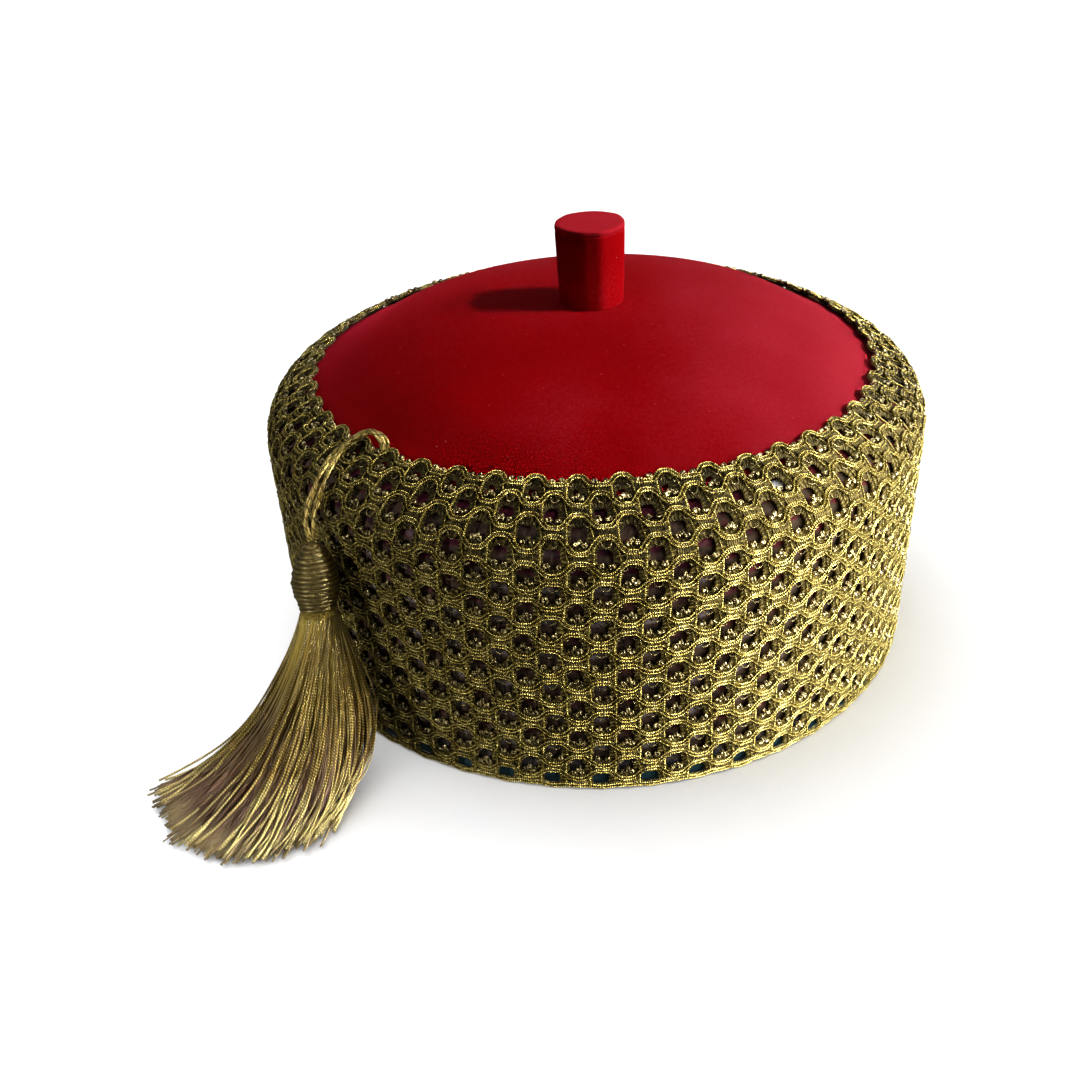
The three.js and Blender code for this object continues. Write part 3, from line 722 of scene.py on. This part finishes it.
# Threads that start in the neck, fall along the locks and end on the floor
def thread_paths(locks, fan, neck_reach, lift, stretch, waviness):
    place = np.clip(fan, 0, 1) * (len(locks) - 1)
    values = [np.interp(place, np.arange(len(locks)), column) for column in locks.T]
    tip_angle, tip_reach, knee_angle, knee_reach, knee_height, foot_reach, foot_height = values
    count = len(fan)
    stray = rng.normal(0, 1, (count, 4))
    neck_angle = np.interp(fan, [0, 1], NECK_TURN) + 6 * stray[:, 0]
    start = polar(neck_angle, neck_reach, NECK_HEIGHT)
    knee = polar(knee_angle + 3 * stray[:, 1], knee_reach + lift, knee_height + 0.6 * lift)
    foot = polar(knee_angle + 2.5 * stray[:, 1], foot_reach + lift, np.maximum(foot_height + lift, 0.5))
    tip = polar(tip_angle + 1.6 * stray[:, 2], tip_reach + stretch, np.maximum(1.6 + 0.9 * lift, 0.45))
    share = np.linspace(0, 1, THREAD_STEPS)[None, :, None]
    paths = (
        start[:, None] * (1 - share) ** 3
        + 3 * knee[:, None] * share * (1 - share) ** 2
        + 3 * foot[:, None] * share**2 * (1 - share)
        + tip[:, None] * share**3
    )
    phase = rng.uniform(0, 2 * math.pi, (count, 2, 1))
    waves = rng.uniform(1.0, 2.6, (count, 2, 1))
    fall = share[:, :, 0]
    sway = waviness * fall * np.sin(2 * math.pi * waves[:, 0] * fall + phase[:, 0])
    rise = 0.5 * waviness * fall * np.sin(2 * math.pi * waves[:, 1] * fall + phase[:, 1])
    tangents = unit(np.gradient(paths, axis=1))
    across = unit(np.cross(UP, tangents))
    up = np.cross(tangents, across)
    paths = paths + sway[:, :, None] * across + rise[:, :, None] * up
    paths[:, :, 2] = np.maximum(paths[:, :, 2], 0.5)
    return paths, up


def threads(locks, fan, neck_reach, lift, stretch, waviness, radius):
    paths, up = thread_paths(locks, fan, neck_reach, lift, stretch, waviness)
    flare = np.interp(np.linspace(0, 1, THREAD_STEPS), [0, 0.3, 0.7, 1], [0.65, 0.8, 1.0, 1.15])
    world_up = skirt_to_cap(up) - skirt_to_cap(np.zeros(3))
    return tubes(skirt_to_cap(paths), world_up, radius[:, None] * flare[None, :], sides=4)


# Gold strands, few in the fan's left middle, where the smooth threads show, and thin stray threads
# that stand off at the right
def gold_thread_patches():
    count = 38
    spread = np.linspace(0, 1, count) + rng.normal(0, 0.012, count)
    fan = np.interp(spread, [0, 0.22, 0.3, 0.8, 1], [0, 0.12, 0.33, 0.8, 1])
    strands = threads(
        OUTER_LOCKS, fan, rng.uniform(4.0, 4.8, count), rng.normal(0.7, 0.5, count),
        rng.normal(0.3, 1.2, count), 0.8, rng.uniform(0.32, 0.42, count),
    )
    stray_count = 18
    strays = threads(
        OUTER_LOCKS, rng.uniform(0.6, 1, stray_count), rng.uniform(4, 4.8, stray_count),
        rng.uniform(1.5, 3.6, stray_count), rng.normal(0, 2, stray_count), 0.6,
        rng.uniform(0.2, 0.26, stray_count),
    )
    return [strands, strays]


def brown_thread_patches():
    count = 420
    fan = rng.uniform(0, 1, count)
    outer = threads(
        OUTER_LOCKS, fan, rng.uniform(2.8, 4.6, count), rng.normal(-0.2, 0.4, count),
        rng.normal(-0.8, 1.4, count), 0.2, rng.uniform(0.26, 0.36, count),
    )
    inner_count = 110
    inner_fan = rng.uniform(0, 1, inner_count)
    inner = threads(
        INNER_LOCKS, inner_fan, rng.uniform(0.5, 3.0, inner_count), rng.normal(0.3, 0.8, inner_count),
        rng.normal(2.0, 2.0, inner_count), 0.3, rng.uniform(0.3, 0.42, inner_count),
    )
    return [outer, inner]


cord = piece("tassel_cord_strands", cord_patches(), cord_gold, "tassel_cord")
head = piece("tassel_head_winding", head_patches(), head_gold, "tassel_head")
skirt = "tassel_skirt"
gold_threads = piece("tassel_threads_gold", gold_thread_patches(), thread_gold, skirt)
brown_threads = piece("tassel_threads_brown", brown_thread_patches(), thread_brown, skirt)


# Velvet crown, which swells inside the lace's edge, with faint dents
def smooth_step(value, low, high):
    share = np.clip((value - low) / (high - low), 0, 1)
    return share * share * (3 - 2 * share)


def crown_run(inset, steps):
    along = np.linspace(SEAM_ALONG, APEX_ALONG, steps + 1)
    rising = smooth_step(along, SWELL_START, SWELL_TOP)
    falling = 1 - smooth_step(along, SWELL_TOP, APEX_ALONG)
    return profile_run(along, inset - CROWN_SWELL * rising * falling)


def crown_patches():
    underside = crown_run(BACKING_INSET, 32)[::-1]
    face = crown_run(VELVET_INSET, 64)

    def dents(radius, height, angle):
        waves = (
            0.22 * np.sin(radius / 17 + 1.3 * np.sin(angle * 2 + 0.6))
            + 0.16 * np.sin(radius / 29 * np.cos(angle - 0.9) + 2.1)
        )
        inner = np.clip((radius - 12) / 12, 0, 1) * np.clip((78 - radius) / 10, 0, 1)
        return radius, height + waves * inner

    return [turned(np.concatenate([underside, face]), swell=dents)]


def side_patches():
    seam = SEAM_ALONG - CLEAR
    rim_face = OUTSIDE_RADIUS - VELVET_INSET - BINDING_THICK - CLEAR
    rim_foot = BINDING_THICK + CLEAR
    step = BINDING_HEIGHT + CLEAR
    velvet_radius = OUTSIDE_RADIUS - VELVET_INSET
    outside = [[rim_face, rim_foot], [rim_face, step], [velvet_radius, step]]
    face = profile_run(np.linspace(step + 1, seam, 41), VELVET_INSET)
    back = profile_run(np.linspace(step, seam, 41), BACKING_INSET)[::-1]
    inside_foot = [[OUTSIDE_RADIUS - BACKING_INSET, rim_foot]]
    return [turned(np.concatenate([outside, face, back, inside_foot]), closed=True)]


def binding_patches():
    outer = OUTSIDE_RADIUS - VELVET_INSET
    outer_back = outer - BINDING_THICK
    inner_back = OUTSIDE_RADIUS - BACKING_INSET - CLEAR
    inner = inner_back - BINDING_THICK
    soft = 0.35
    section = [
        [inner, soft], [inner + soft, 0], [outer - soft, 0], [outer, soft],
        [outer, BINDING_HEIGHT - soft], [outer - soft, BINDING_HEIGHT], [outer_back, BINDING_HEIGHT],
        [outer_back, BINDING_THICK], [inner_back, BINDING_THICK],
        [inner_back, BINDING_HEIGHT], [inner + soft, BINDING_HEIGHT], [inner, BINDING_HEIGHT - soft],
    ]
    return [turned(section, closed=True)]


# Button: velvet wrapped round a post, with soft folds down its side, and a round piece on top
STEM_OUTLINE = [
    (0.3, 0), (0.925, 0), (0.933, 0.03), (0.945, 0.12), (0.97, 0.5), (0.995, 0.93), (0.99, 1), (0.3, 1),
]
TOP_OUTLINE = [
    (0.02, 0), (0.985, 0), (1.0, 0.2), (0.998, 0.72), (0.99, 0.9), (0.968, 1), (0.5, 1.05), (0.02, 1.07),
]
FOLDS = [(18, 0.45), (-14, 0.15), (70, 0.2), (128, 0.35), (-75, 0.3), (-140, 0.3)]  # degrees, height


def button_patches(outline, foot, height):
    count = len(outline)
    place = np.linspace(0, count - 1, 4 * (count - 1) + 1)
    share, level = [np.interp(place, np.arange(count), column) for column in np.transpose(outline)]
    dense = np.stack([share * BUTTON_RADIUS, foot + level * height], axis=-1)

    def folds(radius, height_now, angle):
        ridges = -0.25 + 0.06 * np.sin(3 * angle + height_now / 5)
        for degrees, rise in FOLDS:
            past = np.mod(angle - math.radians(degrees) + math.pi, 2 * math.pi) - math.pi
            ridges = ridges + rise * np.exp(-((past / 0.22) ** 2))
        outer = np.clip((radius / BUTTON_RADIUS - 0.8) / 0.15, 0, 1)
        return radius + ridges * outer, height_now

    patch = turned(dense, steps=128, swell=folds)
    patch.points[:, 0] += BUTTON_SHIFT
    return [patch]


stem_height = BUTTON_HEIGHT - BUTTON_CAP
crown = piece("velvet_crown", crown_patches(), velvet, "crown_top")
piece("velvet_side", side_patches(), side_velvet, "side_wall")
piece("rim_tape", binding_patches(), binding, "rim_binding")
post = button_patches(STEM_OUTLINE, CROWN_HEIGHT, stem_height)
disc = button_patches(TOP_OUTLINE, CROWN_HEIGHT + stem_height, BUTTON_CAP)
button = [
    piece("button_post", post, velvet, "button_stem"),
    piece("button_disc", disc, velvet, "button_top"),
]


# Lace: places are given by a column (a whole number at each hole or bridge) and a row
def column_angle(column, along):
    turn = 2 * math.pi * column / LACE_COLUMNS
    drift = 0.005 * np.sin(3 * turn + along / 9) + 0.003 * np.sin(8 * turn - along / 7)
    return LACE_FIRST_HOLE + turn + LACE_TWIST * along / LACE_EDGE + drift


def lace_edge(column):
    angle = column_angle(column, 0)
    towards_back = np.maximum(-np.cos(angle), 0)
    return LACE_EDGE + LACE_EDGE_SWAY * np.cos(2 * angle) - LACE_BACK_DROP * towards_back**2


# Handwork: small smooth differences round the cap, other ones in each row
def uneven(column, row, size):
    turn = 2 * math.pi * column / LACE_COLUMNS
    slow = 0.5 * np.sin(13 * turn + 2.4 * row)
    quick = 0.35 * np.sin(29 * turn + 5.1 * row) + 0.3 * np.sin(41 * turn + 1.7 * row)
    return size * (slow + quick)


def row_edge(column, row):
    if row <= WALL_ROWS:
        return row * ROW_PITCH + 0 * column
    share = (row - WALL_ROWS) / (LACE_ROWS - WALL_ROWS)
    return WALL_ROWS * ROW_PITCH * (1 - share) + lace_edge(column) * share


# Middle of the band under a row: it dips under that row's holes and arches over those below. The
# lowest one is nearly straight, and the top one rises in narrow arches.
def band_along(column, row):
    wave = -np.cos(math.pi * (column - row))
    wave = wave * (1.6 - 0.6 * wave**2)
    if row == 0:
        return BAND_FOOT + 0.2 * wave
    if row == LACE_ROWS:
        arch = np.clip(0.5 + 0.5 * wave, 0, 1) ** 1.8
        return lace_edge(column) - TOP_BAND_DROP + TOP_BAND_ARCH * arch + uneven(column, row, 0.2)
    pitch = 0.5 * (row_edge(column, row + 1) - row_edge(column, row - 1))
    touch = BAND_TOUCH if row < WALL_ROWS else BAND_TOUCH_TOP
    size = 0.5 * (pitch - touch) + uneven(column, row + 7, 0.15)
    return row_edge(column, row) + size * wave + uneven(column, row, 0.25)


def lace_spot(column, along, inset):
    return on_cap(along, inset, column_angle(column, along))


def band_middle(row):
    column = np.arange(LACE_REPEATS * BAND_STEPS) * (2 / BAND_STEPS)
    lift = 0.12 * np.cos(2 * math.pi * (column - row)) + uneven(column, row + 3, 0.1)
    middle, outward = lace_spot(column, band_along(column, row), BAND_INSET - lift)
    tangent = unit(np.roll(middle, -1, axis=0) - np.roll(middle, 1, axis=0))
    return middle, outward, unit(np.cross(outward, tangent))


def band_patches(row):
    middle, outward, across = band_middle(row)
    cords = np.stack([middle - CORD_SPREAD * across, middle + CORD_SPREAD * across])
    return [tubes(cords, outward[None], EDGE_CORD, sides=4, closed=True)]


# Ribbed cloth of a band: a groove between its two edge cords, and down to the ground beside them
STRIP_SECTION = [(-0.6, -0.95), (-CORD_SPREAD, -0.05), (0, -0.25), (CORD_SPREAD, -0.05), (0.6, -0.95)]


def strip_patches(row):
    middle, outward, across = band_middle(row)
    points = np.stack([middle + aside * across + rise * outward for aside, rise in STRIP_SECTION], axis=1)
    steps = np.linalg.norm(np.roll(middle, -1, axis=0) - middle, axis=1)
    length = np.concatenate([[0], np.cumsum(steps)])
    sideways = np.arange(len(STRIP_SECTION) + 1) * 0.5
    uvs = np.stack(np.broadcast_arrays(length[:, None], sideways[None, :]), axis=-1)
    return [grid(points, uvs, close_rows=True)]


def hole_columns(row):
    return np.arange(row % 2, LACE_COLUMNS, 2.0)


def row_middle(column, row):
    return 0.5 * (row_edge(column, row) + row_edge(column, row + 1))


# Dark ground behind the bands: a frame round each hole, out to the middles of the four bridges
def ground_patches(row):
    turn = 2 * math.pi * np.arange(HOLE_STEPS) / HOLE_STEPS
    ring_x = HOLE_HALF_WIDTH * np.sign(np.cos(turn)) * np.abs(np.cos(turn)) ** HOLE_SQUARENESS
    ring_y = HOLE_HALF_HEIGHT * np.sign(np.sin(turn)) * np.abs(np.sin(turn)) ** HOLE_SQUARENESS
    uvs = np.stack(np.meshgrid(np.arange(HOLE_STEPS + 1) * 1.25 * RIB_PITCH, np.arange(4) * 0.8), axis=-1)
    upper = row - LACE_ROWS + 2
    sizes = UPPER_HOLE_SIZES[upper] if upper >= 0 else HOLE_SIZES
    aside, rise = UPPER_HOLE_SHIFT if upper >= 0 else HOLE_SHIFT
    size = rng.uniform(*sizes, (LACE_REPEATS, HOLE_STEPS))
    size = 0.5 * size + 0.25 * (np.roll(size, 1, axis=1) + np.roll(size, -1, axis=1))
    holes = hole_columns(row)[:, None]
    middle = row_middle(holes, row)
    above = row_middle(holes, row + 1) - middle
    below = middle - row_middle(holes, row - 1)
    height = np.where(ring_y >= 0, above, below)
    stretch = 1 / (np.abs(ring_x) / COLUMN_WIDTH + np.abs(ring_y) / height)
    rings = []
    for scale, share, depth in [(stretch, 0, 0)] + [(size + more, 1, depth) for more, depth in HOLE_LIP]:
        column = holes + (share * aside + scale * ring_x) / COLUMN_WIDTH
        along = middle + share * rise + scale * ring_y
        along = np.clip(along, BAND_FOOT - 0.3, band_along(column, LACE_ROWS) - 0.2)
        rings.append(lace_spot(column, along, GROUND_INSET + depth)[0])
    return [grid(np.stack(rings, axis=1), np.stack([uvs] * LACE_REPEATS), close_columns=True)]


# Threads that close each hole at its left and right
def side_thread_patches(row):
    holes = hole_columns(row)
    share = np.linspace(0, 1, 5)[None, :]
    patches = []
    for sign, bow, radius, depth in SIDE_THREADS:
        column = holes[:, None] + sign * (SIDE_THREAD_PLACE + bow * np.sin(2 * math.pi * share))
        low = band_along(column, row) + 0.2
        high = band_along(column, row + 1) - 0.2
        path, outward = lace_spot(column, low + (high - low) * share, BAND_INSET + depth)
        sideways = unit(np.cross(outward, UP))
        patches.append(tubes(path, sideways, radius, sides=5))
    return patches


# Dark cloth between two bands where they come close
def bridge_patches(row):
    offsets = np.linspace(-BRIDGE_HALF_WIDTH, BRIDGE_HALF_WIDTH, 7)
    column = hole_columns(row + 1)[:, None] + offsets / COLUMN_WIDTH
    low, outward = lace_spot(column, band_along(column, row) + 0.3, BRIDGE_INSET)
    high, _ = lace_spot(column, band_along(column, row + 1) - 0.3, BRIDGE_INSET)
    points = np.stack([low, 0.5 * (low + high) + 0.2 * outward, high], axis=1)
    uvs = np.stack(np.meshgrid(offsets - offsets[0], [0.0, 0.5, 1.0]), axis=-1)
    return [grid(points, np.stack([uvs] * LACE_REPEATS))]


# Knots in a hole: place sideways from its middle, height above the band below it, depth, half sizes
ODD_KNOTS = [
    (0.05, 3.0, 0.8, (0.85, 1.0, 0.8)),
    (-1.1, 2.3, 0.6, (0.95, 0.8, 0.7)),
    (1.1, 2.3, 0.6, (0.95, 0.85, 0.7)),
]
EVEN_KNOTS = [(-1.5, 2.3, 0.6, (1.05, 1.0, 0.75)), (1.4, 2.2, 0.65, (1.1, 0.8, 0.7))]
EDGE_KNOTS = [(sideways, 1.1, BAND_INSET, (1.0, 0.75, 0.7)) for sideways in (-1.5, 1.5)]
LOOP_RADIUS = 0.2


# Knots in each hole of a row, no two of them quite alike
def knot_row(row, knots):
    holes = hole_columns(row)
    count = len(holes)
    patches = []
    for sideways, rise, inset, halves in knots:
        column = holes + (sideways + rng.normal(0, 0.15, count)) / COLUMN_WIDTH
        along = band_along(column, row) + rise + rng.normal(0, 0.12, count)
        places, outward = lace_spot(column, along, inset)
        across = unit(np.cross(UP, outward))
        up = np.cross(outward, across)
        sizes = np.array(halves) * rng.uniform(0.8, 1.2, (count, 3))
        patches.append(beads(places, across, up, outward, sizes))
    return patches


# A thread in each hole of a row, hung below the band above it or below that band's level at mid-hole
def loop_row(row, sideways, drop, inset, level):
    holes = hole_columns(row)[:, None]
    column = holes + sideways / COLUMN_WIDTH
    top = band_along(holes + 0 * column if level else column, row + 1)
    path, outward = lace_spot(column, top - drop, inset)
    return tubes(path, outward, LOOP_RADIUS)


# Knots and loops inside the holes: a three-lobed knot at the foot of odd rows' holes with short arcs
# above it, a hanging loop in even rows' holes with two knots below it
def picot_patches(row):
    if row % 2 == 0:
        sweep = np.linspace(-1, 1, 9)
        hang = 0.9 + 1.8 * np.sqrt(np.clip(1 - sweep**2, 0, 1))
        return [loop_row(row, 1.4 * sweep, hang, 0.7, level=True), *knot_row(row, EVEN_KNOTS)]
    patches = knot_row(row, ODD_KNOTS)
    arc = np.linspace(0, 1, 6)
    for sign, lower in ((-1, 0.0), (1, 0.45)):
        drop = 0.9 + lower + 0.8 * arc + 0.8 * np.sin(math.pi * arc)
        patches.append(loop_row(row, sign * (3.0 - 1.8 * arc), drop, 0.9, level=False))
    return patches


def rows_of(maker, rows):
    return [patch for row in rows for patch in maker(row)]


def lace_piece(name, patches, material):
    piece("lace_" + name, patches, material, "gold_lace")


ALL_ROWS = range(LACE_ROWS)
for name, rows in (("lower", range(0, 7)), ("middle", range(7, 13)), ("upper", range(13, LACE_ROWS + 1))):
    lace_piece("bands_" + name, rows_of(band_patches, rows), lace_edge_gold)
lace_piece("strips", rows_of(strip_patches, range(LACE_ROWS + 1)), lace_ribbed)
lace_piece("ground", rows_of(ground_patches, ALL_ROWS) + rows_of(bridge_patches, ALL_ROWS), lace_dark)
lace_piece("threads", rows_of(side_thread_patches, ALL_ROWS), lace_edge_gold)
# The lowest row has no knots, and the top edge has two in each dip
knots = rows_of(picot_patches, range(1, LACE_ROWS)) + knot_row(LACE_ROWS, EDGE_KNOTS)
lace_piece("knots", knots, lace_knotted)


# Floor, a round white backdrop that only the camera sees, and lights: in metres
FLOOR_SIZE = 6.0
BACKDROP_RADIUS = 2.9
BACKDROP_HEIGHT = 3.0


def floor_material():
    tree = Tree("pale_floor")
    grain = tree.noise(40.0)
    colour = tree.ramp(grain, [(0.3, (0.86, 0.86, 0.87)), (0.7, (0.88, 0.88, 0.88))])
    return tree.finish(base_color=colour, roughness=0.8, specular_ior_level=0.1)


def backdrop_material():
    tree = Tree("white_backdrop")
    return tree.finish(base_color=(0, 0, 0, 1), emission_color=(1, 1, 1, 1), emission_strength=1.0)


def staged(name, points, faces, material):
    mesh = bpy.data.meshes.new(name)
    mesh.from_pydata(points, [], faces)
    mesh.materials.append(material)
    obj = placed(name, mesh)
    obj.visible_diffuse = False
    obj.visible_glossy = False
    return obj


half = FLOOR_SIZE / 2
floor_corners = [(-half, -half, 0), (half, -half, 0), (half, half, 0), (-half, half, 0)]
floor = staged("floor", floor_corners, [(0, 1, 2, 3)], floor_material())
wall = turned([(BACKDROP_RADIUS / MM, 0), (BACKDROP_RADIUS / MM, BACKDROP_HEIGHT / MM)])
backdrop = staged("backdrop", wall.points * MM, wall.corners.reshape(-1, 4), backdrop_material())
backdrop.visible_shadow = False


# Each light falls on some of the pieces only, so that the lace can be lit from its sides and the velvet
# from above
def sun_light(name, direction, strength, softness, lit):
    data = bpy.data.lights.new(name, "SUN")
    data.energy = strength
    data.angle = math.radians(softness)
    light = placed(name, data)
    light.rotation_mode = "QUATERNION"
    light.rotation_quaternion = (-Vector(direction)).to_track_quat("-Z", "Y")
    receivers = bpy.data.collections.new(name)
    for obj in lit:
        receivers.objects.link(obj)
    light.light_linking.receiver_collection = receivers


tassel = [cord, head, gold_threads, brown_threads]
velvet_pieces = [crown, *button]
meshes = [obj for obj in bpy.data.objects if obj.type == "MESH"]
sides = [obj for obj in meshes if obj not in (floor, backdrop, *tassel, *velvet_pieces)]
sun_light("key", (1.0, -0.15, 0.8), 3.5, 14, velvet_pieces + tassel)
sun_light("low key", (0.97, -0.12, 0.12), 2.3, 20, button + tassel)
sun_light("front", (-0.8, -0.6, 0.4), 0.32, 4, [crown])
sun_light("tassel", (-0.7, -0.7, 0.4), 0.75, 4, tassel)
sun_light("side", (0.97, 0.06, 0.15), 8.6, 45, sides)
sun_light("fill", (0.95, -0.26, 0.3), 3.6, 70, sides)
sun_light("left", (-0.85, -0.3, 0.35), 1.5, 5, sides)
sun_light("back", (0.4, 1.0, 0.2), 0.5, 30, velvet_pieces + tassel + sides)
sun_light("floor", (-0.5, 0.5, 1.0), 1.2, 60, [floor])
sun_light("overhead", (0.0, 0.0, 1.0), 3.9, 140, [floor])

world = bpy.data.worlds.new("studio")
world.use_nodes = True
background = world.node_tree.nodes["Background"]
background.inputs["Color"].default_value = (1, 1, 1, 1)
background.inputs["Strength"].default_value = 0.08
bpy.context.scene.world = world
bpy.context.scene.view_settings.view_transform = "Standard"
